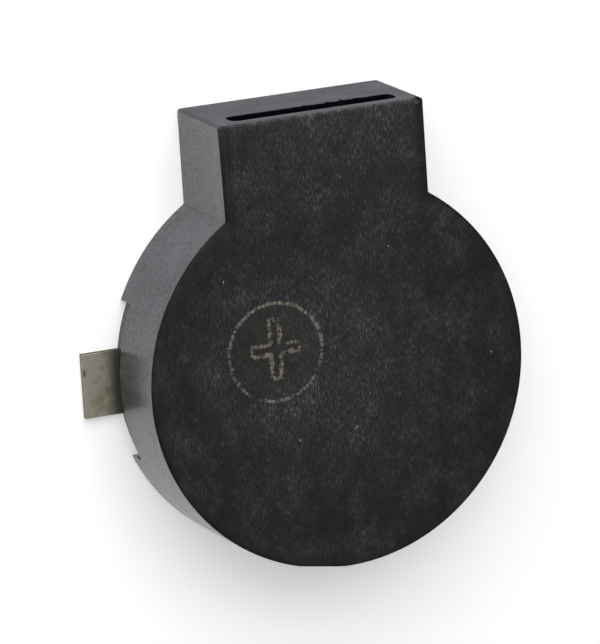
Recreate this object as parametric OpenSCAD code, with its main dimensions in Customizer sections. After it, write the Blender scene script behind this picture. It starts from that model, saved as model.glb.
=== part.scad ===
// Surface-mount magnetic buzzer with a side sound spout.
// The origin is on the round body's axis in the board plane, +Y leaves through the spout and +Z
// through the marked top. All sizes are in millimetres.

/* [Case] */
// Diameter of the round body
body_d = 14; // [13:0.1:20]
// Height of the case above the board
body_h = 4; // [3.6:0.1:7]
// Thickness of the round side wall
side_wall = 0.7; // [0.5:0.05:1]
// Thickness of the top wall
top_wall = 0.55; // [0.4:0.05:0.8]
// Radius of the moulded outer edges
edge_r = 0.08; // [0.04:0.01:0.3]
// Width of the inner ledge over the diaphragm's rim
ledge_w = 0.5; // [0.35:0.05:0.8]
// Width of the window that each terminal leaves the wall by
window_w = 5.6; // [3:0.1:7]
// Height of that window above the board
window_h = 0.95; // [0.6:0.05:1.2]

/* [Sound spout] */
// Width of the spout
spout_w = 7.65; // [7.2:0.05:9]
// Length that the spout stands out past the round body
spout_l = 2.25; // [1.5:0.05:4]
// Width of the sound slot over its round ends
slot_w = 6.25; // [3:0.05:6.6]
// Height of the sound slot
slot_h = 0.9; // [0.7:0.05:1.1]
// Thickness of the lip under the slot at its edge
mouth_edge = 0.03; // [0.02:0.01:0.1]
// Thickness of that lip at its foot
mouth_t = 0.3; // [0.2:0.05:0.5]
// Depth that the duct falls away behind the lip
mouth_drop = 0.4; // [0.1:0.05:0.4]
// Thickness of the walls round the hollow under the spout
spout_wall = 0.7; // [0.5:0.05:1]
// Radius of the corners in that hollow
hollow_r = 0.3; // [0.1:0.05:0.6]

/* [Base] */
// Thickness of the base's floor
floor_t = 0.6; // [0.5:0.05:0.8]
// Width of the seat under the diaphragm's rim
seat_w = 0.5; // [0.3:0.05:0.8]
// Width of the lip that centres the diaphragm
lip_w = 0.2; // [0.15:0.05:0.3]
// Height of that lip above the seat
lip_h = 0.1; // [0.08:0.01:0.2]
// Depth of the base's ears in the windows behind the round wall
ear_inset = 0.25; // [0.1:0.05:0.5]
// Size of the sealing groove along the base's lower edge
groove = 0.3; // [0.1:0.05:0.5]
// Height that the sealing epoxy creeps up beside the base
seal_h = 0.5; // [0.4:0.05:0.6]
// Depth of the epoxy's surface below the rim
seal_sink = 0.04; // [0.01:0.01:0.08]

/* [Terminals] */
// Thickness of the terminal strip
terminal_t = 0.25; // [0.15:0.01:0.3]
// Width of the solder tab outside the case
terminal_w = 2.3; // [1.4:0.1:5]
// Distance that the tabs sit off the middle, away from the spout
tab_shift = 0.05; // [0:0.05:0.2]
// Length that the tab stands out past the round body
tab_l = 1.1; // [0.5:0.05:3]
// Width of the inner tag that the coil's lead is soldered to
tag_w = 1.2; // [0.9:0.1:1.4]
// Flat length of that tag
tag_l = 0.8; // [0.75:0.05:1]
// Inside radius of the terminal's two bends
bend_r = 0.1; // [0.05:0.01:0.15]

/* [Motor] */
// Thickness of the yoke plate
yoke_t = 0.45; // [0.4:0.05:0.7]
// Diameter of the core pin
core_d = 2.2; // [1.8:0.1:3]
// Height of the core pin above the yoke plate
core_h = 1; // [0.95:0.05:1.1]
// Diameter of the core pin's stub in the yoke plate
stub_d = 1.5; // [1:0.1:1.7]
// Part of the room between core pin and yoke edge that the winding takes, the magnet has the rest
winding_part = 0.6; // [0.4:0.05:0.7]
// Height of the ring magnet
magnet_h = 0.9; // [0.6:0.05:1]
// Height of the winding
coil_h = 0.85; // [0.5:0.05:0.95]
// Diameter of the coil wire, drawn coarse enough to see
wire_d = 0.1; // [0.06:0.01:0.12]
// Distance from the winding's outer edge in to where a lead rises into it
lead_inset = 0.3; // [0.2:0.05:1]
// Chamfer on the core, the magnet and the armature
motor_edge = 0.08; // [0.02:0.01:0.12]

/* [Diaphragm] */
// Thickness of the steel diaphragm
diaphragm_t = 0.06; // [0.03:0.01:0.09]
// Step from the magnet's bore in to the armature disc's edge
armature_step = 1.1; // [0.5:0.1:1.6]
// Thickness of the armature disc
armature_t = 0.3; // [0.2:0.05:0.5]
// Air gap between the core pin and the diaphragm
air_gap = 0.15; // [0.1:0.01:0.25]

/* [Solder] */
// Diameter of the solder dome on each tag
solder_d = 0.7; // [0.5:0.05:0.75]

/* [Fits] */
// Gap between the base and the case's bore
base_gap = 0.05; // [0.02:0.01:0.1]
// Gap between an ear of the base and its window
ear_gap = 0.1; // [0.05:0.01:0.2]
// Gap between the diaphragm's edge and its lip
diaphragm_gap = 0.05; // [0.02:0.01:0.1]
// Gap between the yoke plate's edge and the base
yoke_gap = 0.05; // [0.02:0.01:0.1]
// Step from the yoke plate's edge in to the magnet
magnet_step = 0.3; // [0.1:0.05:0.5]
// Gap between the winding and the magnet
coil_gap = 0.3; // [0.1:0.05:0.5]
// Gap between the winding and the core pin
core_gap = 0.1; // [0.05:0.01:0.2]
// Gap between a tag and the base's ring or the yoke plate
tag_gap = 0.1; // [0.05:0.01:0.15]
// Gap round a coil lead in the yoke plate
lead_gap = 0.05; // [0.03:0.01:0.08]
// Gap between a solder dome and the magnet above it
solder_gap = 0.03; // [0.02:0.01:0.06]

/* [Hidden] */
$fn = 96;

// Overshoot of a cut past the face that it opens
cut = 1;

// Radii, from the outside in
body_r = body_d / 2;
bore_r = body_r - side_wall;
chamber_r = bore_r - ledge_w;
base_r = bore_r - base_gap;
lip_r = base_r - lip_w;
diaphragm_r = lip_r - diaphragm_gap;
seat_r = lip_r - seat_w;
yoke_r = seat_r - yoke_gap;
magnet_r = yoke_r - magnet_step;
coil_bore_r = core_d / 2 + core_gap;
motor_room = magnet_r - coil_gap - coil_bore_r;
coil_r = coil_bore_r + winding_part * motor_room;
magnet_bore_r = coil_r + coil_gap;
armature_r = magnet_bore_r - armature_step;
ear_r = body_r - ear_inset;
// The ears start under the middle of the base ring's foot
ear_root_r = (seat_r + base_r - groove) / 2;

// Ends of the spout and of a solder tab
spout_reach = body_r + spout_l;
terminal_reach = body_r + tab_l;

// Heights, from the board up
tag_z = floor_t + terminal_t;
motor_z = floor_t + yoke_t;
core_z = motor_z + core_h;
seat_z = core_z + air_gap;
armature_z = seat_z + diaphragm_t;
ledge_z = seat_z + lip_h;
ceiling_z = body_h - top_wall;
slot_z = ceiling_z - slot_h;
hollow_z = slot_z - spout_wall;

// Stations of a terminal and its lead along X, from the tab inwards
riser_x = seat_r - tag_gap;
lower_bend_x = riser_x + bend_r;
upper_bend_x = riser_x - terminal_t - bend_r;
solder_x = upper_bend_x - tag_l / 2;
tag_end_x = upper_bend_x - tag_l;
notch_x = tag_end_x - tag_gap;
lead_rise_x = coil_r - lead_inset;
lead_z = tag_z + wire_d;

// A rectangle on the X axis with its two upper corners rounded
module rounded_top(w, h, r) {
  translate([-w / 2, 0])
    square([w, h - r]);
  translate([r - w / 2, 0])
    square([w - 2 * r, h]);
  for (side = [-1, 1])
    translate([side * (w / 2 - r), h - r])
      circle(r = r);
}

// A slot about the origin with round ends
module round_ended(w, h) {
  square([w - h, h], center = true);
  for (side = [-1, 1])
    translate([side * (w - h) / 2, 0])
      circle(d = h);
}

// An outline drawn in X and Z, extruded across Y from y0 to y1
module across_y(y0, y1) {
  translate([0, y1, 0])
    rotate([90, 0, 0])
      linear_extrude(height = y1 - y0)
        children();
}

// The round drum of the case, rounded along its top edge
module drum() {
  rotate_extrude()
    intersection() {
      rounded_top(body_d, body_h, edge_r);
      square([body_r, body_h]);
    }
}

// The spout, rounded along its top, end and side edges by three crossing outlines
module spout() {
  intersection() {
    across_y(0, spout_reach)
      rounded_top(spout_w, body_h, edge_r);
    rotate([90, 0, 90])
      translate([0, 0, -spout_w / 2])
        linear_extrude(height = spout_w)
          rounded_top(2 * spout_reach, body_h, edge_r);
    linear_extrude(height = body_h)
      rounded_top(spout_w, spout_reach, edge_r);
  }
}

// The slot that leads the sound from the chamber out through the spout, over a thin lip at its mouth
module sound_duct() {
  pit_w = slot_w - slot_h;
  pit_z = slot_z - mouth_drop;
  translate([0, 0, slot_z + slot_h / 2])
    across_y(0, spout_reach + cut)
      round_ended(slot_w, slot_h);
  rotate([90, 0, 90])
    translate([0, 0, -pit_w / 2])
      linear_extrude(height = pit_w)
        polygon([
          [body_r + mouth_t, pit_z],
          [spout_reach - mouth_t, pit_z],
          [spout_reach - mouth_edge, slot_z],
          [spout_reach - mouth_edge, slot_z + slot_h / 2],
          [body_r + mouth_t, slot_z + slot_h / 2]
        ]);
}

// The hollow that keeps the spout's walls even, between the drum and the spout's end
module spout_hollow() {
  translate([0, 0, -cut])
    linear_extrude(height = hollow_z + cut)
      difference() {
        rounded_top(spout_w - 2 * spout_wall, spout_reach - spout_wall, hollow_r);
        circle(r = body_r);
      }
}

module case() {
  color("#2b2b2d")
    difference() {
      union() {
        drum();
        spout();
      }
      translate([0, 0, -cut])
        cylinder(r = bore_r, h = ledge_z + cut);
      cylinder(r = chamber_r, h = ceiling_z);
      sound_duct();
      spout_hollow();
      translate([-body_d, -window_w / 2, -cut])
        cube([2 * body_d, window_w, window_h + cut]);
    }
}

// A quarter of a bend in the strip, in the quadrant towards the signs of sx and sz
module strip_bend(sx, sz) {
  intersection() {
    difference() {
      circle(r = bend_r + terminal_t);
      circle(r = bend_r);
    }
    scale([sx, sz])
      square(bend_r + terminal_t);
  }
}

// The strip's narrow inner end: up through the floor, then flat as a tag
module tag_outline() {
  translate([lower_bend_x, terminal_t + bend_r])
    strip_bend(-1, -1);
  translate([riser_x - terminal_t, terminal_t + bend_r])
    square([terminal_t, floor_t - terminal_t - 2 * bend_r]);
  translate([upper_bend_x, floor_t - bend_r])
    strip_bend(1, 1);
  translate([tag_end_x, floor_t])
    square([tag_l, terminal_t]);
}

// One terminal, pressed from strip, on the +X side
module terminal() {
  translate([lower_bend_x, -terminal_w / 2 - tab_shift, 0])
    cube([terminal_reach - lower_bend_x, terminal_w, terminal_t]);
  across_y(-tag_w / 2, tag_w / 2)
    tag_outline();
}

module terminal_plus() {
  color("#8b8878")
    mirror([1, 0, 0])
      terminal();
}

module terminal_minus() {
  color("#8b8878")
    terminal();
}

// The ears of the base that fill the case's two windows round the terminals
module ears() {
  ear_w = window_w - 2 * ear_gap;
  ear_h = window_h - ear_gap;
  intersection() {
    difference() {
      cylinder(r = ear_r, h = ear_h);
      translate([0, 0, -cut])
        cylinder(r = ear_root_r, h = ear_h + 2 * cut);
    }
    translate([-ear_r, -ear_w / 2, 0])
      cube([2 * ear_r, ear_w, ear_h]);
  }
}

// The base is moulded round the terminals, so their shapes are left free in it
module base() {
  color("#252527")
    difference() {
      union() {
        rotate_extrude()
          polygon([
            [0, 0],
            [base_r - groove, 0],
            [base_r, groove],
            [base_r, ledge_z],
            [lip_r, ledge_z],
            [lip_r, seat_z],
            [seat_r, seat_z],
            [seat_r, floor_t],
            [0, floor_t]
          ]);
        ears();
      }
      for (side = [0, 1])
        mirror([side, 0, 0])
          terminal();
    }
}

module yoke_plate() {
  notch_w = tag_w + 2 * tag_gap;
  channel_w = wire_d + 2 * lead_gap;
  channel_x = lead_rise_x - channel_w / 2;
  channel_z = lead_z - channel_w / 2;
  color("#7c7f82")
    difference() {
      translate([0, 0, floor_t])
        cylinder(r = yoke_r, h = yoke_t);
      translate([0, 0, floor_t - cut])
        cylinder(d = stub_d, h = yoke_t + 2 * cut);
      for (side = [0, 1])
        mirror([side, 0, 0]) {
          translate([notch_x, -notch_w / 2, floor_t - cut])
            cube([yoke_r, notch_w, yoke_t + 2 * cut]);
          translate([channel_x, -channel_w / 2, channel_z])
            cube([notch_x - channel_x + tag_gap, channel_w, yoke_t]);
        }
    }
}

module core_pin() {
  core_r = core_d / 2;
  color("#9a9da0")
    rotate_extrude()
      polygon([
        [0, floor_t],
        [stub_d / 2, floor_t],
        [stub_d / 2, motor_z],
        [core_r, motor_z],
        [core_r, core_z - motor_edge],
        [core_r - motor_edge, core_z],
        [0, core_z]
      ]);
}

module ring_magnet() {
  top = motor_z + magnet_h;
  color("#3a3836")
    rotate_extrude()
      polygon([
        [magnet_bore_r, motor_z],
        [magnet_r, motor_z],
        [magnet_r, top - motor_edge],
        [magnet_r - motor_edge, top],
        [magnet_bore_r + motor_edge, top],
        [magnet_bore_r, top - motor_edge]
      ]);
}

// The winding's section, with its outer layer of turns
module winding() {
  layer_r = coil_r - wire_d / 2;
  layer_h = coil_h - 2 * wire_d;
  steps = ceil(layer_h / wire_d);
  translate([coil_bore_r, motor_z])
    square([layer_r - coil_bore_r, coil_h]);
  for (i = [0 : steps])
    translate([layer_r, motor_z + wire_d + i * layer_h / steps])
      circle(d = wire_d);
}

// The two ends of the wire, from under the winding to the solder on the tags
module coil_leads() {
  for (side = [0, 1])
    mirror([side, 0, 0]) {
      translate([lead_rise_x, 0, lead_z]) {
        rotate([0, 90, 0])
          cylinder(d = wire_d, h = solder_x - lead_rise_x);
        cylinder(d = wire_d, h = motor_z - lead_z + wire_d);
        sphere(d = wire_d);
      }
    }
}

module coil() {
  color("#b4622d") {
    rotate_extrude()
      winding();
    coil_leads();
  }
}

module solder_joints() {
  dome_h = motor_z - tag_z - solder_gap;
  dome_r = (pow(solder_d / 2, 2) + pow(dome_h, 2)) / (2 * dome_h);
  color("#b9bbbc")
    difference() {
      for (side = [-1, 1])
        translate([side * solder_x, 0, tag_z])
          intersection() {
            translate([0, 0, dome_h - dome_r])
              sphere(r = dome_r);
            cylinder(d = 2 * solder_d, h = 2 * dome_h);
          }
      coil_leads();
    }
}

module diaphragm() {
  color("#b5b8ba")
    translate([0, 0, seat_z])
      cylinder(r = diaphragm_r, h = diaphragm_t);
}

module armature_disc() {
  top = armature_z + armature_t;
  color("#8d9093")
    rotate_extrude()
      polygon([
        [0, armature_z],
        [armature_r, armature_z],
        [armature_r, top - motor_edge],
        [armature_r - motor_edge, top],
        [0, top]
      ]);
}

// Two beads of epoxy in the groove between base and case, clear of the terminal windows
module sealing_epoxy() {
  color("#161618")
    difference() {
      rotate_extrude()
        polygon([
          [base_r - groove + seal_sink, seal_sink],
          [bore_r, seal_sink],
          [bore_r, seal_h],
          [base_r, seal_h],
          [base_r, groove]
        ]);
      translate([-body_d, -window_w / 2, -cut])
        cube([2 * body_d, window_w, 2 * cut + seal_h]);
    }
}

case();
base();
terminal_plus();
terminal_minus();
yoke_plate();
core_pin();
ring_magnet();
coil();
solder_joints();
diaphragm();
armature_disc();
sealing_epoxy();
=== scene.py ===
"""Looks of a side-sounding magnetic buzzer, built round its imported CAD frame."""

import math

import bmesh
import bpy
from bpy.props import FloatProperty, FloatVectorProperty, IntProperty, PointerProperty
from mathutils import Matrix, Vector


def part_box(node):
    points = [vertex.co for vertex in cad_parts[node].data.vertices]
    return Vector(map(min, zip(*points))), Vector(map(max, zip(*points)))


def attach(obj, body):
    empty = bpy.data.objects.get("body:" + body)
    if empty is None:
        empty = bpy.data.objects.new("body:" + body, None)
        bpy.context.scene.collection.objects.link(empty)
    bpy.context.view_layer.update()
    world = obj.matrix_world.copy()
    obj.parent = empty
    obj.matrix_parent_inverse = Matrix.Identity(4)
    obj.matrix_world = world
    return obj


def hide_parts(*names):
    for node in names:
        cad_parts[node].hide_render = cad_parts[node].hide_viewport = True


bl_info = {
    "name": "Side-Sounding Buzzer",
    "version": (1, 0, 0),
    "blender": (4, 5, 0),
    "location": "View3D > Sidebar > Buzzer",
    "description": "Builds the looks of a surface-mount magnetic buzzer on its CAD frame",
    "category": "Object",
}

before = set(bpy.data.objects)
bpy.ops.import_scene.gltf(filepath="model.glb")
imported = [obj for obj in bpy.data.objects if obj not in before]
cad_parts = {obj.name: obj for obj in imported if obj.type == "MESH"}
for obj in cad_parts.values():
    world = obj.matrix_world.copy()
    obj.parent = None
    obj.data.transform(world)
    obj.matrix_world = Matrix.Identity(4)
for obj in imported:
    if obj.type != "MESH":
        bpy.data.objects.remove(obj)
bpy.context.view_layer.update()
case_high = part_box("case")[1]

MM = 0.001
QUARTER = math.pi / 2
# How far a cutter stands out of the case, in millimetres
CLEAR = 1.0
# Segments of the drum's wall, the bore, the printed ring and the hollow's round side
DRUM_STEPS, BORE_STEPS, RING_STEPS, HOLLOW_STEPS = 360, 240, 120, 48
# Segments of a small corner of the case and of the sound slot
CORNER_STEPS, SLOT_STEPS = 6, 7


def linear(code):
    """Turn an sRGB hex colour into linear RGBA."""
    parts = [int(code[i : i + 2], 16) / 255 for i in (1, 3, 5)]
    return [p / 12.92 if p <= 0.04045 else ((p + 0.055) / 1.055) ** 2.4 for p in parts] + [1.0]


def shade(tone, factor):
    """A linear colour made this much darker or lighter."""
    return [c * factor for c in tone[:3]] + [1.0]


def length(name, about, default):
    """A property for one size in metres."""
    return FloatProperty(
        name=name, description=about, default=default, min=0, precision=6, unit="LENGTH"
    )


def amount(name, about, default):
    """A property for one plain number."""
    return FloatProperty(name=name, description=about, default=default, min=0)


def colour(name, about, code):
    """A property for one colour, written as an sRGB hex value."""
    return FloatVectorProperty(
        name=name, description=about, default=linear(code), size=4, min=0, max=1, subtype="COLOR"
    )


class CaseSettings(bpy.types.PropertyGroup):
    """Sizes and colours of the moulded case."""

    body_radius: length("Body radius", "Radius of the round body", case_high.x)
    body_height: length("Body height", "Height of the case above the board", case_high.z)
    spout_reach: length("Spout reach", "Distance from the axis to the spout's end", case_high.y)
    spout_width: length("Spout width", "Width of the spout", 7.65 * MM)
    ink_room: length("Ink room", "Depth of the top face below the CAD box, for the ink", 0.005 * MM)
    edge_radius: length("Edge radius", "Radius of the top edge", 0.08 * MM)
    corner_radius: length("Corner radius", "Radius of the spout's upright corners", 0.12 * MM)
    root_radius: length("Root radius", "Radius in the corner between spout and body", 0.1 * MM)
    crown_drop: length("Crown drop", "How far the top face falls away to its edge", 0.025 * MM)
    crown_run: length("Crown run", "Width of the band in which it falls away", 0.35 * MM)
    rim_chamfer: length("Rim chamfer", "Break of the edge round the rim on the board", 0.04 * MM)
    bore_radius: length("Bore radius", "Radius of the bore for the base", 6.3 * MM)
    ledge_height: length("Ledge height", "Height of the ledge over the diaphragm", 2.3 * MM)
    chamber_radius: length("Chamber radius", "Radius of the air chamber", 5.8 * MM)
    ceiling_height: length("Ceiling height", "Height of the chamber's ceiling", 3.45 * MM)
    slot_width: length("Slot width", "Width of the sound slot", 6.25 * MM)
    slot_height: length("Slot height", "Height of the sound slot", 0.9 * MM)
    slot_corner: length("Slot corner", "Radius of the sound slot's corners", 0.28 * MM)
    burr_height: length("Burr height", "Height of the slot's torn teeth", 0.24 * MM)
    lip: length("Lip", "Thickness of the spout's end under the slot", 0.3 * MM)
    lip_drop: length("Lip drop", "How far the duct falls away behind that lip", 0.4 * MM)
    hollow_height: length("Hollow height", "Height of the hollow under the spout", 1.85 * MM)
    hollow_corner: length("Hollow corner", "Radius of that hollow's corners", 0.3 * MM)
    spout_wall: length("Spout wall", "Thickness of the walls round that hollow", 0.7 * MM)
    window_width: length("Window width", "Width of each terminal's window", 5.6 * MM)
    window_height: length("Window height", "Height of each terminal's window", 0.95 * MM)
    worn_edge: length("Worn edge", "Width of the worn bevel at the spout's left end", 0.25 * MM)
    gate_flat: length("Gate flat", "Depth of the flat where the gate was cut off", 0.065 * MM)
    gate_width: length("Gate width", "Width of the cut that leaves that flat", 4.0 * MM)
    gate_bearing: FloatProperty(
        name="Gate bearing",
        description="Direction of that flat from the axis, turning from +X to +Y",
        default=math.radians(-99),
        unit="ROTATION",
    )
    fleck_width: length("Fleck width", "Width of a pale fleck of filler", 0.1 * MM)
    rust_width: length("Rust width", "Width of a grain of rusty dust", 0.28 * MM)
    fleck_thickness: length("Fleck thickness", "Height of a fleck above the top", 0.003 * MM)
    fleck_seed: IntProperty(
        name="Fleck seed", description="Seed of the flecks' sizes and turns", default=3, min=0
    )
    resin: colour("Resin", "Colour of the moulded resin", "#151516")
    fibre: colour("Fibre", "Colour of the glass fibre streaks at the skin", "#626264")
    # Colour of the hazy film, also painted on as sheen near the middle of the top and on the spout
    haze_and_sheen: colour("Haze_and_sheen", "Colour of the haze left by handling", "#4c4e58")
    stain: colour("Stain", "Colour of the thin film of ink inside the ring", "#2c2519")
    scuff: colour("Scuff", "Colour of the scuffs along the spout's edge", "#6e6d69")
    wall: colour("Wall", "Colour of the drawn walls", "#1d222b")
    fleck: colour("Fleck", "Colour of the pale flecks of filler", "#8d8c88")
    rust: colour("Rust", "Colour of the two rusty spots", "#33241d")


class MarkSettings(bpy.types.PropertyGroup):
    """Place, size and colour of the printed polarity mark."""

    centre: FloatVectorProperty(
        name="Centre",
        description="Middle of the mark on the top face",
        default=(-2.32 * MM, 1.06 * MM),
        size=2,
        unit="LENGTH",
    )
    ring_radius: length("Ring radius", "Radius of the dotted ring", 1.74 * MM)
    plus_shift: length("Plus shift", "Offset of the plus in its ring, to the spout", 0.11 * MM)
    arm_across: length("Arm across", "Reach of the plus to either side", 0.87 * MM)
    arm_along: length("Arm along", "Reach of the plus to the spout and away from it", 1.04 * MM)
    arm_width: length("Arm width", "Width of each arm of the plus", 0.35 * MM)
    dot_width: length("Dot width", "Width of one dot of ink in the ring", 0.17 * MM)
    bold_width: length("Bold width", "Width of one dot of ink in the plus", 0.19 * MM)
    dot_spacing: length("Dot spacing", "Distance between dots along the line", 0.155 * MM)
    scatter: length("Scatter", "How far dots stray from the line", 0.02 * MM)
    thickness: length("Ink thickness", "Height of the ink above the top face", 0.004 * MM)
    seed: IntProperty(name="Seed", description="Seed of the dots' scatter", default=7, min=0)
    ink: colour("Ink", "Colour of the printed ink", "#68645a")


class MetalSettings(bpy.types.PropertyGroup):
    """Sizes and colours of the terminals, the base and the motor."""

    sheared_edge: length("Sheared edge", "Radius of the terminals' sheared edges", 0.03 * MM)
    tin: colour("Tin", "Colour of the dull tin plating", "#dcd7c4")
    tarnish: colour("Tarnish", "Colour of the tarnish on the tin", "#afa991")
    # Colour of the painted shade at the root of a tab, and of the stain spot at its end
    root_shade_and_stain: colour("Root_shade_and_stain", "Colour of the dirt at the root of a tab", "#747061")
    cut: colour("Cut end", "Colour of the strip's cut ends", "#827c6e")
    bronze: colour("Bronze", "Colour of the bare bronze on the sheared edges", "#5c5546")
    nickel: colour("Nickel", "Colour of the nickel-plated iron", "#b3b4b3")
    steel: colour("Steel", "Colour of the diaphragm's steel", "#c3c5c6")
    copper: colour("Copper", "Colour of the enamelled wire", "#c8703a")
    solder: colour("Solder", "Colour of the solder", "#d2d3d2")
    ferrite: colour("Ferrite", "Colour of the ring magnet", "#34322f")
    base: colour("Base", "Colour of the moulded base", "#1e1f21")
    epoxy: colour("Epoxy", "Colour of the sealing epoxy", "#0f0f10")


class StageSettings(bpy.types.PropertyGroup):
    """Floor, light and camera."""

    camera_place: FloatVectorProperty(
        name="Camera place",
        description="Where the camera stands",
        default=(-0.102078, 0.064229, 0.255153),
        subtype="TRANSLATION",
        unit="LENGTH",
    )
    camera_turn: FloatVectorProperty(
        name="Camera turn",
        description="How the camera is turned",
        default=(-0.199526, -0.395480, -0.070072),
        subtype="EULER",
        unit="ROTATION",
    )
    camera_lens: amount("Lens", "Focal length in millimetres on a 36 mm sensor", 447.2)
    floor_reach: length("Floor reach", "Distance from the object to the floor's sides", 3.0)
    floor_depth: length("Floor depth", "Thickness of the floor", 0.02)
    floor_gap: length("Floor gap", "How far the floor lies below the object", 0.02 * MM)
    floor: colour("Floor", "Colour of the pale floor", "#f2f2f2")
    lift: amount("Lift", "How much whiter the paper looks than it is lit", 0.36)
    horizon: amount("Horizon", "Brightness of the room's walls", 0.5)
    ceiling: amount("Ceiling", "Brightness of the room overhead", 0.2)
    softbox_power: amount("Softbox power", "Power of the softbox in watts", 1.75)
    softbox_size: length("Softbox size", "Width and height of the softbox", 0.45)
    softbox_place: FloatVectorProperty(
        name="Softbox place",
        description="Where the softbox stands, turned to the object",
        default=(-0.084025, 0.264679, 0.315094),
        subtype="TRANSLATION",
        unit="LENGTH",
    )


def add(tree, kind, inputs=None, stops=(), **settings):
    """Add a node with its settings and colour stops, and set or link its inputs.

    An input goes by the name of a socket in use or by its number. It takes a value, a socket, or
    another node, whose first output in use is linked."""
    made = tree.nodes.new(kind)
    for key, value in settings.items():
        setattr(made, key, value)
    for i, (position, tint) in enumerate(stops):
        band = made.color_ramp.elements
        if i == len(band):
            band.new(position)
        band[i].position, band[i].color = position, tint
    for key, value in (inputs or {}).items():
        if isinstance(key, str):
            key = next(i for i, s in enumerate(made.inputs) if s.enabled and s.name == key)
        if isinstance(value, bpy.types.Node):
            value = next(s for s in value.outputs if s.enabled)
        if isinstance(value, bpy.types.NodeSocket):
            tree.links.new(value, made.inputs[key])
        else:
            made.inputs[key].default_value = value
    return made


def new_material(name):
    """A material with an empty tree, and the piece's own coordinates in it."""
    material = bpy.data.materials.new(name)
    material.use_nodes = True
    tree = material.node_tree
    tree.nodes.clear()
    return material, tree, add(tree, "ShaderNodeTexCoord").outputs["Object"]


def sized(tree, place, sizes, inputs, kind="ShaderNodeTexNoise"):
    """Add a texture whose pattern is as large as these millimetres along X, Y and Z."""
    scale = [1 / (size * MM) for size in sizes]
    laid = add(tree, "ShaderNodeMapping", {"Vector": place, "Scale": scale})
    return add(tree, kind, {"Vector": laid, "Scale": 1.0} | inputs)


def end_material(material, tree, inputs):
    """End a material's tree with its shader and give the material back."""
    shader = add(tree, "ShaderNodeBsdfPrincipled", inputs)
    add(tree, "ShaderNodeOutputMaterial", {"Surface": shader})
    return material


def new_object(name, data):
    """An object with this data, in the scene."""
    made = bpy.data.objects.new(name, data)
    bpy.context.collection.objects.link(made)
    return made


def loft(name, rings):
    """A closed mesh object through rings of points with the same count, capped at both ends."""
    mesh = bpy.data.meshes.new(name)
    shape = bmesh.new()
    loops = [[shape.verts.new(point) for point in ring] for ring in rings]
    count = len(loops[0])
    for low, high in zip(loops, loops[1:]):
        for i in range(count):
            j = (i + 1) % count
            shape.faces.new((low[i], low[j], high[j], high[i]))
    shape.faces.new(list(reversed(loops[0])))
    shape.faces.new(loops[-1])
    bmesh.ops.recalc_face_normals(shape, faces=shape.faces)
    shape.to_mesh(mesh)
    shape.free()
    return new_object(name, mesh)


def final_mesh(source):
    """A plain mesh of what an object's modifiers make of it."""
    bpy.context.view_layer.update()
    shown = source.evaluated_get(bpy.context.evaluated_depsgraph_get())
    return bpy.data.meshes.new_from_object(shown)


def bake(piece):
    """Replace a piece's mesh by what its modifiers make of it."""
    mesh = final_mesh(piece)
    piece.modifiers.clear()
    piece.data = mesh


def carve(piece, cutters):
    """Cut the cutters out of a piece and remove them."""
    for cutter in cutters:
        cut = piece.modifiers.new(cutter.name, "BOOLEAN")
        cut.operation = "DIFFERENCE"
        cut.solver = "EXACT"
        cut.object = cutter
    bake(piece)
    for cutter in cutters:
        bpy.data.objects.remove(cutter)


def smooth(piece, crease):
    """Shade a piece smooth, with edges sharper than this angle in degrees kept crisp."""
    mesh = piece.data
    mesh.polygons.foreach_set("use_smooth", [True] * len(mesh.polygons))
    mesh.set_sharp_from_angle(angle=math.radians(crease))
    weigh = piece.modifiers.new("Even normals", "WEIGHTED_NORMAL")
    weigh.keep_sharp = True
    bake(piece)


def dress(node, material):
    """Give a CAD node one material."""
    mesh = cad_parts[node].data
    mesh.materials.clear()
    mesh.materials.append(material)


def sweep(cx, cy, radius, start, end, steps):
    """Points along an arc."""
    turns = [start + (end - start) * i / steps for i in range(steps + 1)]
    return [(cx + radius * math.cos(a), cy + radius * math.sin(a)) for a in turns]


def upright_cutter(name, outline, high):
    """A straight cutter with this outline, from below the board up to a height."""
    return loft(name, [[(x, y, z) for x, y in outline] for z in (-CLEAR, high)])


def case_outline(s, inset):
    """Outline of drum and spout in millimetres, anticlockwise and drawn in by an inset."""
    radius, reach = s.body_radius / MM - inset, s.spout_reach / MM - inset
    half, root = s.spout_width / MM / 2 - inset, s.root_radius / MM + inset
    least_corner = 0.005
    corner = max(s.corner_radius / MM - inset, least_corner)
    root_x = half + root
    root_y = math.sqrt((radius + root) ** 2 - root_x**2)
    bearing = math.atan2(root_y, root_x)
    outline = sweep(root_x, root_y, root, math.pi + bearing, math.pi, CORNER_STEPS)
    outline += sweep(half - corner, reach - corner, corner, 0, QUARTER, CORNER_STEPS)
    outline += sweep(corner - half, reach - corner, corner, QUARTER, math.pi, CORNER_STEPS)
    outline += sweep(-root_x, root_y, root, 0, -bearing, CORNER_STEPS)
    outline += sweep(0, 0, radius, math.pi - bearing, math.tau + bearing, DRUM_STEPS)[1:-1]
    return outline


def case_shell(s):
    """The outside of the case, with its crowned top, rounded edge and broken rim, still solid."""
    top = (s.body_height - s.ink_room) / MM
    edge, rim = s.edge_radius / MM, s.rim_chamfer / MM
    crown, run, crown_steps = s.crown_drop / MM, s.crown_run / MM, 5
    shoulder = top - crown - edge
    # A level close to either end of the wall keeps its shading straight in between
    levels = [(0, rim), (rim * 0.3, rim * 0.3), (rim, 0), (rim * 2, 0), (shoulder - edge / 2, 0)]
    for angle in range(0, 81, 16):
        turn = math.radians(angle)
        levels.append((shoulder + edge * math.sin(turn), edge - edge * math.cos(turn)))
    for i in range(1, crown_steps + 1):
        inward = i / crown_steps
        levels.append((top - crown * (1 - inward) ** 2, edge + run * inward))
    rings = [[(x, y, z) for x, y in case_outline(s, inset)] for z, inset in levels]
    return loft("case_shell", rings)


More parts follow.
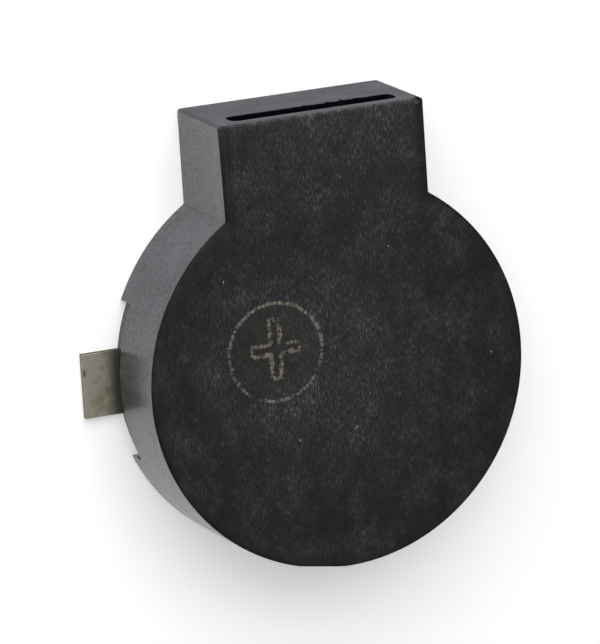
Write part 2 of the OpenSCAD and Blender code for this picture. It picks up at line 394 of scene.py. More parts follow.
def bore_cutter(s):
    """The stepped bore and the air chamber."""
    bore, chamber = s.bore_radius / MM, s.chamber_radius / MM
    ledge, ceiling = s.ledge_height / MM, s.ceiling_height / MM
    profile = [(bore, -CLEAR), (bore, ledge), (chamber, ledge), (chamber, ceiling)]
    circle = sweep(0, 0, 1, 0, math.tau, BORE_STEPS)[:-1]
    return loft("bore", [[(r * x, r * y, z) for x, y in circle] for r, z in profile])


def duct_edge(s, burr, drop):
    """Outline of the sound duct, its floor let down by a drop and torn into teeth this high."""
    half, ceiling, bend = s.slot_width / MM / 2, s.ceiling_height / MM, s.slot_corner / MM
    floor = ceiling - s.slot_height / MM - drop
    edge = sweep(bend - half, ceiling - bend, bend, QUARTER, math.pi, SLOT_STEPS)
    edge += sweep(bend - half, floor + bend, bend, math.pi, 3 * QUARTER, SLOT_STEPS)
    # Teeth along the lower edge: place across the slot, share of the burr height, half width
    for place, share, wide in (
        (-2.2, 0.1, 0.12),
        (-1.7, -0.12, 0.14),
        (-0.62, -0.2, 0.1),
        (-0.06, 0.6, 0.06),
        (0.3, -0.3, 0.1),
        (0.58, -0.3, 0.09),
        (0.81, 0.8, 0.06),
        (1.08, -0.3, 0.11),
        (1.35, 1.0, 0.07),
        (1.9, 0.25, 0.14),
        (2.3, -0.15, 0.1),
    ):
        edge += [(place - wide, floor), (place, floor - share * burr), (place + wide, floor)]
    edge += sweep(half - bend, floor + bend, bend, -QUARTER, 0, SLOT_STEPS)
    edge += sweep(half - bend, ceiling - bend, bend, 0, QUARTER, SLOT_STEPS)
    return edge


def duct_cutter(s):
    """The sound duct, with a thin torn lip at its mouth and a deeper floor behind it."""
    reach, lip = s.spout_reach / MM, s.lip / MM
    burr, drop = s.burr_height / MM, s.lip_drop / MM
    inner = s.body_radius / MM + lip
    # How far in the mouth is torn, and the run in which the floor rises again at the drum
    torn, slope = 0.03, 0.1
    stations = (
        (reach + CLEAR, burr, 0),
        (reach - torn, burr, 0),
        (reach - lip, 0, drop),
        (inner, 0, drop),
        (inner - slope, 0, 0),
        (0, 0, 0),
    )
    rings = [[(x, y, z) for x, z in duct_edge(s, teeth, down)] for y, teeth, down in stations]
    return loft("duct", rings)


def chip_cutters(s):
    """Wedges that chip the spout's top front edge."""
    reach, top = s.spout_reach / MM, s.body_height / MM
    # Wedges start clear of the spout's end and of its top
    out, above = reach + 0.1, top + 0.05
    made = []
    # Place across the spout, half width, depth along it and depth down
    for x, wide, back, down in (
        (-2.62, 0.1, 0.07, 0.06),
        (-1.12, 0.13, 0.16, 0.07),
        (0.45, 0.1, 0.06, 0.05),
        (2.1, 0.12, 0.05, 0.05),
        (3.62, 0.17, 0.22, 0.26),
    ):
        left, right, far = x - wide, x + wide, reach - back
        tip, near, deep, deeper = x + wide / 4, reach - back / 3, top - down, top - down * 1.5
        low = [(x, out, deeper), (tip, out, deeper), (tip, near, deep), (x, near, deep)]
        high = [(left, out, above), (right, out, above), (right, far, above), (left, far, above)]
        made.append(loft("chip", [low, high]))
    return made


def hollow_cutter(s):
    """The hollow under the spout, bounded by the drum's round wall."""
    wall, radius, corner = s.spout_wall / MM, s.body_radius / MM, s.hollow_corner / MM
    half, reach = s.spout_width / MM / 2 - wall, s.spout_reach / MM - wall
    bearing = math.acos(half / radius)
    outline = sweep(half - corner, reach - corner, corner, 0, QUARTER, CORNER_STEPS)
    outline += sweep(corner - half, reach - corner, corner, QUARTER, math.pi, CORNER_STEPS)
    outline += sweep(0, 0, radius, math.pi - bearing, bearing, HOLLOW_STEPS)
    return upright_cutter("hollow", outline, s.hollow_height / MM)


def window_cutter(s, side):
    """The window that a terminal leaves by, from inside the bore out through the wall."""
    half, radius = s.window_width / MM / 2, s.body_radius / MM
    near, far = side * radius * 0.75, side * (radius + CLEAR)
    outline = [(near, -half), (far, -half), (far, half), (near, half)]
    return upright_cutter("window", outline, s.window_height / MM)


def gate_cutter(s):
    """The flat where the moulding's gate was cut off, opposite the spout."""
    half, out = s.gate_width / MM / 2, (s.body_radius - s.gate_flat) / MM
    along, aside = math.cos(s.gate_bearing), math.sin(s.gate_bearing)
    corners = ((out, -half), (out + CLEAR, -half), (out + CLEAR, half), (out, half))
    outline = [(r * along - w * aside, r * aside + w * along) for r, w in corners]
    return upright_cutter("gate", outline, s.body_height / MM + CLEAR)


def worn_cutter(s):
    """The worn bevel along the spout's left top edge, wide at the end and narrow at the root."""
    side, reach, top = -s.spout_width / MM / 2, s.spout_reach / MM, s.body_height / MM
    clear = 0.4
    # Section of the bevel: share of its width in from the side, share of its drop below the top
    section = ((0, 1), (0.18, 0.62), (0.55, 0.26), (1, 0))
    rings = []
    for y, share in ((reach + 0.3, 1.08), (reach - 1.6, 0.62), (reach - 3.4, 0.3)):
        wide = share * s.worn_edge / MM
        drop, run = wide * 1.08, wide * 0.8
        ring = [(side - clear, top - drop * 1.6)]
        ring += [(side + inward * run, top - down * drop) for inward, down in section]
        ring += [(side + run * 1.6, top + clear), (side - clear, top + clear)]
        rings.append([(x, y, z) for x, z in ring])
    return loft("worn_edge", rings)


def top_material(s, mark):
    """Black liquid-crystal polymer filled with glass, moulded against a textured tool.

    The top is near black with a thin grey hazy film from handling, and painted sheen lightens it
    near the middle of the drum and on the spout. The filler shows as hairlines along the flow of
    the melt. In a band inside the edge the film and painted sheen give way and the top is darker."""
    material, tree, place = new_material("Glass-filled polymer, textured top")
    # Hairlines 0.055 mm wide and 0.2 mm long, along the flow from the spout to the far side. Real
    # fibres are about 0.01 mm thick and are drawn coarser so that they show
    streak = sized(tree, place, (0.055, 0.2, 0.1), {"Detail": 2.0, "Roughness": 0.6})
    # Clouds of thicker and thinner haze, 1.3 mm across and finely broken up
    cloud = sized(tree, place, (1.3, 1.9, 1.3), {"Detail": 3.0, "Roughness": 0.85})
    # The top face in millimetres, for what lies at a place on it
    flat = add(tree, "ShaderNodeMapping", {"Vector": place, "Scale": (1 / MM, 1 / MM, 0)})
    across = add(tree, "ShaderNodeSeparateXYZ", {0: flat}).outputs
    # Painted sheen: the hazy film is painted thicker, and so lighter, near the middle of the drum
    # and on the spout, in place of the gloss of the light there
    away = add(tree, "ShaderNodeVectorMath", {0: flat, 1: (-0.5, 0.7, 0)}, operation="DISTANCE")
    painted_sheen = add(
        tree,
        "ShaderNodeMapRange",
        {"Value": away, "From Min": 1.0, "From Max": 6.5, "To Min": 1.0, "To Max": 0.0},
        interpolation_type="SMOOTHSTEP",
    )
    spout = add(
        tree,
        "ShaderNodeMapRange",
        {"Value": across["Y"], "From Min": 3.5, "From Max": 7.5, "To Min": 0.0, "To Max": 0.9},
    )
    haze_and_sheen = add(tree, "ShaderNodeMath", {0: painted_sheen, 1: spout}, operation="MAXIMUM")
    # Distance to the edge of the drum or to the spout's sides, whichever lies further in
    middle = add(tree, "ShaderNodeVectorMath", {0: flat}, operation="LENGTH")
    drum = add(tree, "ShaderNodeMath", {0: s.body_radius / MM, 1: middle}, operation="SUBTRACT")
    off = add(tree, "ShaderNodeMath", {0: across["X"]}, operation="ABSOLUTE")
    side = add(tree, "ShaderNodeMath", {0: s.spout_width / MM / 2, 1: off}, operation="SUBTRACT")
    neck = add(tree, "ShaderNodeMath", {0: side, 1: across["Y"]}, operation="MINIMUM")
    rim = add(tree, "ShaderNodeMath", {0: drum, 1: neck}, operation="MAXIMUM")
    black, white = (0, 0, 0, 1), (1, 1, 1, 1)
    # A band inside the edge in which the top is darker
    edge_band = add(tree, "ShaderNodeValToRGB", {"Fac": rim}, stops=[(0.22, white), (0.45, black)])
    # Fibres stand out where the painted sheen lies, are faint towards the far side, and fade in the
    # band inside the edge
    fibres_in_sheen = add(tree, "ShaderNodeMapRange", {"Value": haze_and_sheen, "To Min": 0.5, "To Max": 1.0})
    worn = add(tree, "ShaderNodeMapRange", {"Value": edge_band, "To Min": 1.0, "To Max": 0.35})
    shown = add(tree, "ShaderNodeMath", {0: fibres_in_sheen, 1: worn}, operation="MULTIPLY")
    fibres = add(tree, "ShaderNodeMix", {"Factor": shown, "A": 0.47, "B": streak})
    grained = add(tree, "ShaderNodeMath", {0: cloud, 1: 0.48, 2: fibres}, operation="MULTIPLY_ADD")
    grain = add(
        tree,
        "ShaderNodeValToRGB",
        {"Fac": grained},
        stops=[
            (0.55, linear("#060607")),
            (0.71, s.resin),
            (0.81, linear("#2a2a2b")),
            (0.89, linear("#404042")),
            (1.0, s.fibre),
        ],
    )
    # The hazy film and its painted sheen stay only away from that band
    kept = add(tree, "ShaderNodeMapRange", {"Value": edge_band, "To Min": 0.2, "To Max": 0.0})
    film = add(tree, "ShaderNodeMath", {0: haze_and_sheen, 1: kept}, operation="MULTIPLY")
    veil = add(tree, "ShaderNodeMath", {0: film, 1: grained}, operation="MULTIPLY")
    # A warm film of thinned ink wiped about inside the printed ring
    centre = (mark.centre[0] / MM, mark.centre[1] / MM, 0)
    ring = mark.ring_radius / MM + 0.2
    inside = add(tree, "ShaderNodeVectorMath", {0: flat, 1: centre}, operation="DISTANCE")
    wiped = add(
        tree,
        "ShaderNodeMapRange",
        {"Value": inside, "From Min": 0.9, "From Max": ring, "To Min": 1.0, "To Max": 0.0},
    )
    smear = add(tree, "ShaderNodeMath", {0: wiped, 1: cloud}, operation="MULTIPLY")
    # Scuffs 0.07 mm wide and 0.3 mm long along the spout's front edge
    rub = sized(tree, place, (0.07, 0.3, 0.3), {"Detail": 1.0})
    end = add(tree, "ShaderNodeMath", {0: s.spout_reach / MM, 1: across["Y"]}, operation="SUBTRACT")
    lip = add(
        tree,
        "ShaderNodeMapRange",
        {"Value": end, "From Min": 0.05, "From Max": 0.45, "To Min": 1.0, "To Max": 0.0},
    )
    scuffed = add(tree, "ShaderNodeMath", {0: rub, 1: lip}, operation="MULTIPLY")
    scuff = add(
        tree,
        "ShaderNodeMapRange",
        {"Value": scuffed, "From Min": 0.56, "From Max": 0.72, "To Min": 0.0, "To Max": 0.6},
    )
    tint = grain
    # Over the grain: the hazy film with its painted sheen, the stain in the ring, and the scuffs
    for share, over in ((veil, s.haze_and_sheen), (smear, s.stain), (scuff, s.scuff)):
        layer = {"Factor": share, "A": tint, "B": over}
        tint = add(tree, "ShaderNodeMix", layer, data_type="RGBA")
    gloss = add(
        tree,
        "ShaderNodeMapRange",
        {"Value": streak, "From Min": 0.3, "From Max": 0.7, "To Min": 0.46, "To Max": 0.36},
    )
    # The edge itself is abraded and mirrors little
    dull = add(
        tree,
        "ShaderNodeMapRange",
        {"Value": rim, "From Min": 0.02, "From Max": 0.14, "To Min": 0.1, "To Max": 0.5},
    )
    relief = add(
        tree, "ShaderNodeBump", {"Height": streak, "Strength": 0.35, "Distance": 0.008 * MM}
    )
    return end_material(
        material,
        tree,
        {
            "Base Color": tint,
            "Roughness": gloss,
            "Specular IOR Level": dull,
            "Normal": relief,
            "IOR": 1.5,
        },
    )


def wall_material(name, tone, draw_mm, roughness, depth_mm):
    """Black glass-filled polymer as it leaves the tool.

    The skin is a dark grey satin with a grain 0.07 mm wide, drawn out this long up the walls and
    this deep, and it mirrors a pale floor at a low angle."""
    material, tree, place = new_material(name)
    grain = sized(tree, place, (0.07, 0.07, draw_mm), {"Detail": 2.0})
    # Clouds of more and less filler, 1.5 mm across
    cloud = sized(tree, place, (1.5, 1.5, 0.8), {"Detail": 3.0})
    both = add(tree, "ShaderNodeMix", {"Factor": 0.33, "A": grain, "B": cloud})
    tint = add(
        tree,
        "ShaderNodeValToRGB",
        {"Fac": both},
        stops=[(0.33, shade(tone, 0.6)), (0.5, tone), (0.64, shade(tone, 1.6))],
    )
    spread = {"Value": both, "From Min": 0.33, "From Max": 0.67}
    gloss = add(
        tree,
        "ShaderNodeMapRange",
        spread | {"To Min": roughness + 0.05, "To Max": roughness - 0.05},
    )
    # Where more resin than glass lies at the skin it mirrors more
    skin = add(tree, "ShaderNodeMapRange", spread | {"To Min": 0.32, "To Max": 0.72})
    relief = add(
        tree, "ShaderNodeBump", {"Height": grain, "Strength": 0.2, "Distance": depth_mm * MM}
    )
    return end_material(
        material,
        tree,
        {
            "Base Color": tint,
            "Roughness": gloss,
            "Specular IOR Level": skin,
            "Normal": relief,
            "IOR": 1.5,
        },
    )


class BUZZER_OT_case(bpy.types.Operator):
    """Build the moulded case with its spout, slot, bore and windows"""

    bl_idname = "buzzer.case"
    bl_label = "Moulded Case"

    def execute(self, context):
        s = context.scene.buzzer_case
        piece = case_shell(s)
        carve(
            piece,
            [
                worn_cutter(s),
                gate_cutter(s),
                bore_cutter(s),
                duct_cutter(s),
                hollow_cutter(s),
                window_cutter(s, -1),
                window_cutter(s, 1),
                *chip_cutters(s),
            ],
        )
        piece.data.transform(Matrix.Scale(MM, 4))
        smooth(piece, crease=32)
        piece.name = piece.data.name = "moulded_case"
        # Walls slid out of the tool and are satin
        walls = wall_material(
            "Glass-filled polymer, drawn walls", s.wall, draw_mm=0.2, roughness=0.21, depth_mm=0.002
        )
        # The spout's end met the slide of the tool, which was spark-eroded and leaves it matt
        end = wall_material(
            "Glass-filled polymer, eroded end", s.wall, draw_mm=0.07, roughness=0.56, depth_mm=0.03
        )
        for finish in (walls, top_material(s, context.scene.buzzer_mark), end):
            piece.data.materials.append(finish)
        # The top's finish runs over its round edge, and the end's stops at the upright corners
        high = s.body_height - 4 * s.edge_radius
        out = s.spout_reach - s.corner_radius
        for face in piece.data.polygons:
            if face.normal.z > 0.25 and face.center.z > high:
                face.material_index = 1
            elif face.normal.y > 0.7 and face.center.y > out:
                face.material_index = 2
        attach(piece, "root")
        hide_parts("case")
        return {"FINISHED"}


def epoxy_material(s):
    """Black potting epoxy, poured: a wet gloss with slow waves where it shrank as it set."""
    material, tree, place = new_material("Poured black epoxy")
    # Waves about 0.8 mm long
    wave = sized(tree, place, (0.8, 0.8, 0.8), {"Detail": 1.0})
    tint = add(
        tree, "ShaderNodeValToRGB", {"Fac": wave}, stops=[(0.35, linear("#0a0a0b")), (0.7, s.epoxy)]
    )
    relief = add(tree, "ShaderNodeBump", {"Height": wave, "Strength": 0.5, "Distance": 0.05 * MM})
    return end_material(
        material, tree, {"Base Color": tint, "Roughness": 0.18, "Normal": relief, "IOR": 1.55}
    )


class BUZZER_OT_base(bpy.types.Operator):
    """Dress the moulded base and the epoxy that seals it"""

    bl_idname = "buzzer.base"
    bl_label = "Base and Seal"

    def execute(self, context):
        s = context.scene.buzzer_metal
        # Moulded against the same kind of tool as the case, a little more matt
        base = wall_material(
            "Glass-filled polymer, base", s.base, draw_mm=0.07, roughness=0.3, depth_mm=0.005
        )
        dress("base", base)
        dress("sealing_epoxy", epoxy_material(s))
        return {"FINISHED"}


def metal_material(name, tone, roughness, lines_mm, depth_mm):
    """A plated or rolled metal with fine lines along X, this far apart and this deep.

    They are twenty times as long as wide, and coarser than real ones so that they show."""
    material, tree, place = new_material(name)
    grain = sized(tree, place, (20 * lines_mm, lines_mm, lines_mm), {"Detail": 3.0})
    tint = add(
        tree, "ShaderNodeValToRGB", {"Fac": grain}, stops=[(0.3, shade(tone, 0.7)), (0.7, tone)]
    )
    spread = {"Value": grain, "From Min": 0.3, "From Max": 0.7}
    rough = add(
        tree,
        "ShaderNodeMapRange",
        spread | {"To Min": roughness + 0.08, "To Max": roughness - 0.06},
    )
    relief = add(
        tree, "ShaderNodeBump", {"Height": grain, "Strength": 0.4, "Distance": depth_mm * MM}
    )
    return end_material(
        material, tree, {"Base Color": tint, "Metallic": 1.0, "Roughness": rough, "Normal": relief}
    )


def tin_material(s):
    """Matt tin plating on rolled bronze strip, a few years old.

    The plating is pale and dull, with faint rolling lines and yellowish patches from handling.
    Painted shade darkens it at the root, where the case shades the tab, and there is one dark
    stain spot at the end of the plus tab."""
    material, tree, place = new_material("Matt tin plating")
    # Rolling lines 0.05 mm apart along the strip
    line = sized(tree, place, (0.6, 0.05, 0.3), {"Detail": 2.0})
    # Tarnish patches 0.45 mm across
    patch = sized(tree, place, (0.45, 0.45, 0.45), {"Detail": 4.0})
    mixed = add(tree, "ShaderNodeMath", {0: line, 1: 0.25, 2: patch}, operation="MULTIPLY_ADD")
    # Painted shade reaches 0.45 mm out from the wall, where the case shades the tab, further in
    # some places than in others
    flat = add(tree, "ShaderNodeMapping", {"Vector": place, "Scale": (1 / MM, 1 / MM, 0)})
    across = add(tree, "ShaderNodeSeparateXYZ", {0: flat}).outputs
    out = add(tree, "ShaderNodeMath", {0: across["X"]}, operation="ABSOLUTE")
    ragged = add(tree, "ShaderNodeMath", {0: patch, 1: 0.3, 2: out}, operation="MULTIPLY_ADD")
    root = add(
        tree,
        "ShaderNodeMapRange",
        {"Value": ragged, "From Min": 6.98, "From Max": 7.5, "To Min": 0.85, "To Max": 0.0},
        interpolation_type="SMOOTHSTEP",
    )
    # One dark stain spot at the end of the plus tab
    away = add(tree, "ShaderNodeVectorMath", {0: flat, 1: (-8.12, 0.42, 0)}, operation="DISTANCE")
    spot = add(
        tree,
        "ShaderNodeMapRange",
        {"Value": away, "From Min": 0.05, "From Max": 0.2, "To Min": 1.0, "To Max": 0.0},
    )
    # The painted shade at the root and the stain spot, in one mask
    root_shade_and_stain = add(tree, "ShaderNodeMath", {0: root, 1: spot}, operation="MAXIMUM")
    clean = add(
        tree,
        "ShaderNodeValToRGB",
        {"Fac": mixed},
        stops=[(0.38, s.tarnish), (0.58, s.tin), (0.85, linear("#e6e2d1"))],
    )
    tint = add(tree, "ShaderNodeMix", {"Factor": root_shade_and_stain, "A": clean, "B": s.root_shade_and_stain}, data_type="RGBA")
    dull = add(
        tree,
        "ShaderNodeMapRange",
        {"Value": mixed, "From Min": 0.4, "From Max": 0.9, "To Min": 0.55, "To Max": 0.42},
    )
    relief = add(tree, "ShaderNodeBump", {"Height": mixed, "Strength": 0.4, "Distance": 0.012 * MM})
    return end_material(
        material, tree, {"Base Color": tint, "Metallic": 1.0, "Roughness": dull, "Normal": relief}
    )


class BUZZER_OT_terminals(bpy.types.Operator):
    """Build the two tinned terminals with their sheared edges"""

    bl_idname = "buzzer.terminals"
    bl_label = "Tinned Terminals"

    def execute(self, context):
        s = context.scene.buzzer_metal
        tin = tin_material(s)
        # The strip was plated before it was sheared, so its cut sides are bare and have gone dark
        bronze = metal_material(
            "Sheared phosphor bronze", s.bronze, roughness=0.5, lines_mm=0.04, depth_mm=0.008
        )
        cut = metal_material(
            "Cut end of tinned strip", s.cut, roughness=0.45, lines_mm=0.05, depth_mm=0.008
        )
        crease = 40
        for node in ("terminal_plus", "terminal_minus"):
            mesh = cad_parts[node].data.copy()
            shape = bmesh.new()
            shape.from_mesh(mesh)
            bmesh.ops.remove_doubles(shape, verts=shape.verts, dist=0.0001 * MM)
            bmesh.ops.dissolve_limit(
                shape, angle_limit=math.radians(1), verts=shape.verts, edges=shape.edges
            )
            shape.to_mesh(mesh)
            shape.free()
            piece = new_object("tinned_" + node, mesh)
            mesh.materials.clear()
            for finish in (tin, bronze, cut):
                mesh.materials.append(finish)
            for face in mesh.polygons:
                if abs(face.normal.y) > 0.9:
                    face.material_index = 1
                elif abs(face.normal.x) > 0.9:
                    face.material_index = 2
            edge = piece.modifiers.new("Sheared edge", "BEVEL")
            edge.width = s.sheared_edge
            edge.segments = 2
            edge.limit_method = "ANGLE"
            edge.angle_limit = math.radians(crease)
            bake(piece)
            smooth(piece, crease)
            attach(piece, "root")
            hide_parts(node)
        return {"FINISHED"}


def ferrite_material(s):
    """Strontium ferrite, pressed and sintered: a dull dark grey ceramic with fine open pores."""
    material, tree, place = new_material("Sintered ferrite")
    # Pores 0.04 mm across
    pore = sized(tree, place, (0.04, 0.04, 0.04), {}, kind="ShaderNodeTexVoronoi")
    tint = add(
        tree,
        "ShaderNodeValToRGB",
        {"Fac": pore},
        stops=[(0.0, linear("#1b1a18")), (0.35, s.ferrite)],
    )
    relief = add(tree, "ShaderNodeBump", {"Height": pore, "Strength": 0.5, "Distance": 0.01 * MM})
    return end_material(material, tree, {"Base Color": tint, "Roughness": 0.7, "Normal": relief})


class BUZZER_OT_motor(bpy.types.Operator):
    """Dress the yoke, core, magnet, winding, solder, diaphragm and armature"""

    bl_idname = "buzzer.motor"
    bl_label = "Motor Pieces"

    def execute(self, context):
        s = context.scene.buzzer_metal
        iron = ("yoke_plate", "core_pin", "armature_disc")
        # Colour, roughness, distance and depth of the lines in millimetres, and the nodes
        for name, tone, roughness, lines_mm, depth_mm, nodes in (
            # Barrel-plated, satin, with faint turning lines
            ("Nickel-plated soft iron", s.nickel, 0.35, 0.05, 0.006, iron),
            # Bright satin with straight rolling lines
            ("Cold-rolled spring steel", s.steel, 0.3, 0.03, 0.003, ("diaphragm",)),
            # Self-bonding enamel over copper, glossy and orange
            ("Enamelled copper wire", s.copper, 0.25, 0.1, 0.004, ("coil",)),
            # Froze bright, with a fine frosting
            ("Frozen tin solder", s.solder, 0.28, 0.08, 0.01, ("solder_joints",)),
        ):
            metal = metal_material(name, tone, roughness, lines_mm, depth_mm)
            for node in nodes:
                dress(node, metal)
        dress("ring_magnet", ferrite_material(s))
        return {"FINISHED"}


def ink_material(s):
    """Pad-printed two-part ink: a thin warm grey film, patchy where it took badly on the grain."""
    material, tree, place = new_material("Pad-printed ink")
    # Patches of thin ink 0.14 mm across
    film = sized(tree, place, (0.14, 0.18, 0.14), {"Detail": 2.0})
    tint = add(
        tree,
        "ShaderNodeValToRGB",
        {"Fac": film},
        stops=[(0.36, linear("#232221")), (0.54, s.ink), (0.75, linear("#7f7a6e"))],
    )
    return end_material(material, tree, {"Base Color": tint, "Roughness": 0.6, "IOR": 1.5})


def fleck_material(name, tone):
    """A grain of filler or dirt at the skin: matt, its colour uneven over 0.05 mm."""
    material, tree, place = new_material(name)
    mottle = sized(tree, place, (0.05, 0.05, 0.05), {"Detail": 1.0})
    tint = add(
        tree, "ShaderNodeValToRGB", {"Fac": mottle}, stops=[(0.35, shade(tone, 0.4)), (0.6, tone)]
    )
    return end_material(material, tree, {"Base Color": tint, "Roughness": 0.65, "IOR": 1.5})


def disc_tree(name, source, *lengths):
    """A Geometry Nodes tree for discs on a source, with further lengths, and its inputs."""
    tree = bpy.data.node_groups.new(name, "GeometryNodeTree")
    kinds = {source: "Geometry"} | dict.fromkeys((*lengths, "Width", "Thickness"), "Float")
    kinds |= {"Seed": "Int", "Finish": "Material"}
    for socket, kind in kinds.items():
        tree.interface.new_socket(socket, in_out="INPUT", socket_type="NodeSocket" + kind)
    tree.interface.new_socket("Discs", in_out="OUTPUT", socket_type="NodeSocketGeometry")
    return tree, add(tree, "NodeGroupInput").outputs


def lay_discs(tree, given, points, turn, least, most, sides):
    """End a tree with a thin disc on each point, sized at random between two shares of a width."""
    size = add(
        tree,
        "FunctionNodeRandomValue",
        {"Min": least, "Max": most, "Seed": given["Seed"]},
        data_type="FLOAT_VECTOR",
    )
    wide = add(
        tree,
        "ShaderNodeCombineXYZ",
        {"X": given["Width"], "Y": given["Width"], "Z": given["Thickness"]},
    )
    scale = add(tree, "ShaderNodeVectorMath", {0: size, 1: wide}, operation="MULTIPLY")
    disc = add(tree, "GeometryNodeMeshCylinder", {"Vertices": sides, "Radius": 0.5, "Depth": 2.0})
    discs = add(
        tree,
        "GeometryNodeInstanceOnPoints",
        {"Points": points, "Instance": disc, "Rotation": turn, "Scale": scale},
    )
    solid = add(tree, "GeometryNodeRealizeInstances", {"Geometry": discs})
    done = add(tree, "GeometryNodeSetMaterial", {"Geometry": solid, "Material": given["Finish"]})
    add(tree, "NodeGroupOutput", {"Discs": done})
    return tree


def dotted_line():
    """A Geometry Nodes tree that prints scattered dots of ink along a line."""
    tree, given = disc_tree("Dots of ink along a line", "Line", "Spacing", "Scatter")
    points = add(
        tree,
        "GeometryNodeCurveToPoints",
        {"Curve": given["Line"], "Length": given["Spacing"]},
        mode="LENGTH",
    )
    stray = add(
        tree,
        "FunctionNodeRandomValue",
        {"Min": (-1, -1, 0), "Max": (1, 1, 0), "Seed": given["Seed"]},
        data_type="FLOAT_VECTOR",
    )
    shift = add(
        tree, "ShaderNodeVectorMath", {0: stray, "Scale": given["Scatter"]}, operation="SCALE"
    )
    placed = add(tree, "GeometryNodeSetPosition", {"Geometry": points, "Offset": shift})
    along = add(
        tree,
        "FunctionNodeAlignRotationToVector",
        {"Vector": points.outputs["Tangent"]},
        axis="X",
        pivot_axis="Z",
    )
    return lay_discs(tree, given, placed, along, (0.6, 0.65, 0.5), (1.2, 1.1, 1.0), sides=12)


def scattered_flecks():
    """A Geometry Nodes tree that lays a thin flat fleck on each point of a mesh."""
    tree, given = disc_tree("Flecks on points", "Places")
    points = add(tree, "GeometryNodeMeshToPoints", {"Mesh": given["Places"]})
    turn = add(
        tree,
        "FunctionNodeRandomValue",
        {"Min": (0, 0, 0), "Max": (0, 0, math.tau), "Seed": given["Seed"]},
        data_type="FLOAT_VECTOR",
    )
    return lay_discs(tree, given, points, turn, (0.6, 0.4, 0.6), (1.3, 0.9, 1.0), sides=7)


def grow(name, source, tree, values):
    """Run a Geometry Nodes tree on an object and keep the result as a plain mesh piece."""
    grown = source.modifiers.new(name, "NODES")
    grown.node_group = tree
    for item in tree.interface.items_tree:
        if item.in_out == "INPUT" and item.name in values:
            grown[item.identifier] = values[item.name]
    mesh = final_mesh(source)
    bpy.data.objects.remove(source)
    piece = new_object(name, mesh)
    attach(piece, "root")


def mark_line(name, points, height):
    """A closed line for the print, on the case's top face."""
    curve = bpy.data.curves.new(name, "CURVE")
    curve.dimensions = "3D"
    spline = curve.splines.new("POLY")
    spline.points.add(len(points) - 1)
    for place, (x, y) in zip(spline.points, points):
        place.co = (x, y, height, 1)
    spline.use_cyclic_u = True
    return new_object(name, curve)


class BUZZER_OT_mark(bpy.types.Operator):
    """Print the plus in its dotted ring on the top face"""

    bl_idname = "buzzer.mark"
    bl_label = "Polarity Mark"

    def execute(self, context):
        s = context.scene.buzzer_mark
        case = context.scene.buzzer_case
        top = case.body_height - case.ink_room
        cx, cy = s.centre
        ring = sweep(cx, cy, s.ring_radius, 0, math.tau, RING_STEPS)[:-1]
        wide, long, near = s.arm_across, s.arm_along, s.arm_width / 2
        half = [(near, near), (near, long), (-near, long), (-near, near)]
        half += [(-wide, near), (-wide, -near)]
        corners = half + [(-x, -y) for x, y in half]
        plus = [(cx + x, cy + y + s.plus_shift) for x, y in corners]
        tree = dotted_line()
        values = {
            "Spacing": s.dot_spacing,
            "Scatter": s.scatter,
            "Thickness": s.thickness,
            "Seed": s.seed,
            "Finish": ink_material(s),
        }
        for name, points, width in (
            ("mark_ring", ring, s.dot_width),
            ("mark_plus", plus, s.bold_width),
        ):
            line = mark_line(name + "_line", points, top)
            grow(name, line, tree, values | {"Width": width})
        return {"FINISHED"}


class BUZZER_OT_flecks(bpy.types.Operator):
    """Lay the pale flecks of filler and the rusty spots on the top face"""

    bl_idname = "buzzer.flecks"
    bl_label = "Flecks"

    def execute(self, context):
        s = context.scene.buzzer_case
        tree = scattered_flecks()
        top = s.body_height - s.ink_room
        # Places on the top face in millimetres
        pale = [(-4.08, 3.81), (2.16, 4.19), (-1.62, -2.2)]
        pale += [(0.55, -2.03), (0.48, -2.1), (5.8, -0.14)]
        rusty = [(-2.51, -4.46), (-2.4, -4.4), (-2.58, -4.36), (2.57, -4.5), (2.72, -4.45)]
        filler = fleck_material("Glass filler at the skin", s.fleck)
        dust = fleck_material("Rusty dust", s.rust)
        for name, places, width, finish in (
            ("filler_flecks", pale, s.fleck_width, filler),
            ("rust_flecks", rusty, s.rust_width, dust),
        ):
            mesh = bpy.data.meshes.new(name + "_places")
            mesh.from_pydata([(x * MM, y * MM, top) for x, y in places], [], [])
            values = {
                "Width": width,
                "Thickness": s.fleck_thickness,
                "Seed": s.fleck_seed,
                "Finish": finish,
            }
            grow(name, new_object(name + "_places", mesh), tree, values)
        return {"FINISHED"}


def floor_material(s):
    """Matt white paper sweep, brighter to the eye than the light on it so that it reads white."""
    material, tree, _ = new_material("White paper sweep")
    path = add(tree, "ShaderNodeLightPath").outputs
    bent = add(
        tree,
        "ShaderNodeMath",
        {0: path["Is Glossy Ray"], 1: path["Is Transmission Ray"]},
        operation="MAXIMUM",
    )
    seen = add(tree, "ShaderNodeMath", {0: path["Is Camera Ray"], 1: bent}, operation="MAXIMUM")
    lift = add(tree, "ShaderNodeMath", {0: seen, 1: s.lift}, operation="MULTIPLY")
    return end_material(
        material,
        tree,
        {
            "Base Color": s.floor,
            "Roughness": 0.9,
            "Specular IOR Level": 0.0,
            "Emission Color": (1, 1, 1, 1),
            "Emission Strength": lift,
        },
    )


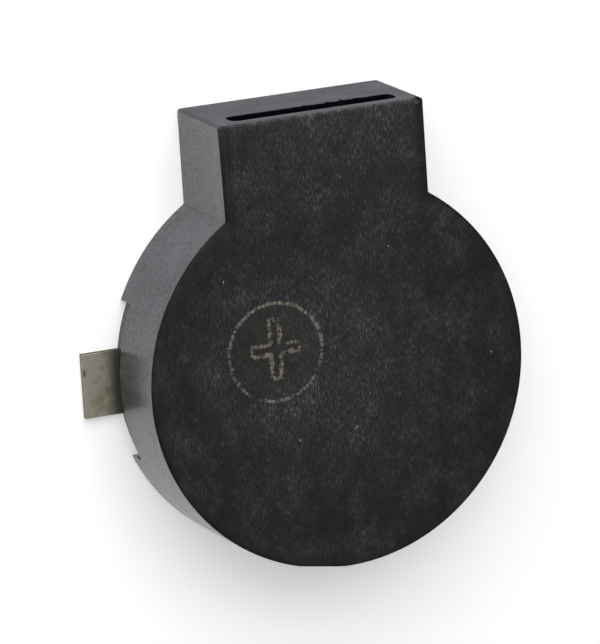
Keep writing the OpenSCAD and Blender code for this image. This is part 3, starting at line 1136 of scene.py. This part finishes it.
class BUZZER_OT_stage(bpy.types.Operator):
    """Set the floor, the light and the camera"""

    bl_idname = "buzzer.stage"
    bl_label = "Stage"

    def execute(self, context):
        s = context.scene.buzzer_stage
        scene = context.scene
        reach = s.floor_reach
        corners = ((-reach, -reach), (reach, -reach), (reach, reach), (-reach, reach))
        levels = (-s.floor_depth, -s.floor_gap)
        floor = loft("floor", [[(x, y, z) for x, y in corners] for z in levels])
        floor.data.materials.append(floor_material(s))

        world = bpy.data.worlds.new("Studio room")
        scene.world = world
        world.use_nodes = True
        tree = world.node_tree
        tree.nodes.clear()
        around = add(tree, "ShaderNodeTexCoord").outputs["Generated"]
        height = add(tree, "ShaderNodeSeparateXYZ", {0: around}).outputs["Z"]
        # The walls' brightness gives way to the ceiling's from a quarter of the way up
        room = add(
            tree,
            "ShaderNodeMapRange",
            {
                "Value": height,
                "From Min": 0.25,
                "From Max": 0.6,
                "To Min": s.horizon,
                "To Max": s.ceiling,
            },
            interpolation_type="SMOOTHSTEP",
        )
        light = add(tree, "ShaderNodeBackground", {"Color": (1, 1, 1, 1), "Strength": room})
        add(tree, "ShaderNodeOutputWorld", {"Surface": light})

        lamp = bpy.data.lights.new("softbox", "AREA")
        lamp.shape = "SQUARE"
        lamp.size = s.softbox_size
        lamp.energy = s.softbox_power
        softbox = new_object("softbox", lamp)
        softbox.location = s.softbox_place
        softbox.rotation_euler = softbox.location.to_track_quat("Z", "Y").to_euler()

        lens = bpy.data.cameras.new("camera")
        lens.lens = s.camera_lens
        lens.sensor_width = 36
        lens.clip_start, lens.clip_end = 0.01, 10
        camera = new_object("camera", lens)
        camera.location = s.camera_place
        camera.rotation_euler = s.camera_turn
        scene.camera = camera
        scene.view_settings.view_transform = "Standard"
        return {"FINISHED"}


class BUZZER_PT_panel(bpy.types.Panel):
    """Sidebar panel that lists the buzzer's pieces"""

    bl_label = "Side-Sounding Buzzer"
    bl_idname = "BUZZER_PT_panel"
    bl_space_type = "VIEW_3D"
    bl_region_type = "UI"
    bl_category = "Buzzer"

    def draw(self, context):
        for operator in OPERATORS:
            self.layout.operator(operator.bl_idname)


SETTINGS = {
    "buzzer_case": CaseSettings,
    "buzzer_mark": MarkSettings,
    "buzzer_metal": MetalSettings,
    "buzzer_stage": StageSettings,
}
OPERATORS = (
    BUZZER_OT_case,
    BUZZER_OT_base,
    BUZZER_OT_terminals,
    BUZZER_OT_motor,
    BUZZER_OT_mark,
    BUZZER_OT_flecks,
    BUZZER_OT_stage,
)


def register():
    """Add the settings, the operators and the panel to Blender."""
    for name, group in SETTINGS.items():
        bpy.utils.register_class(group)
        setattr(bpy.types.Scene, name, PointerProperty(type=group))
    for made in (*OPERATORS, BUZZER_PT_panel):
        bpy.utils.register_class(made)


def unregister():
    """Take them out again."""
    for made in reversed((*OPERATORS, BUZZER_PT_panel)):
        bpy.utils.unregister_class(made)
    for name, group in reversed(SETTINGS.items()):
        delattr(bpy.types.Scene, name)
        bpy.utils.unregister_class(group)


def main():
    """Build the buzzer and its stage."""
    register()
    bpy.ops.buzzer.case()
    bpy.ops.buzzer.base()
    bpy.ops.buzzer.terminals()
    bpy.ops.buzzer.motor()
    bpy.ops.buzzer.mark()
    bpy.ops.buzzer.flecks()
    bpy.ops.buzzer.stage()


if __name__ == "__main__":
    main()
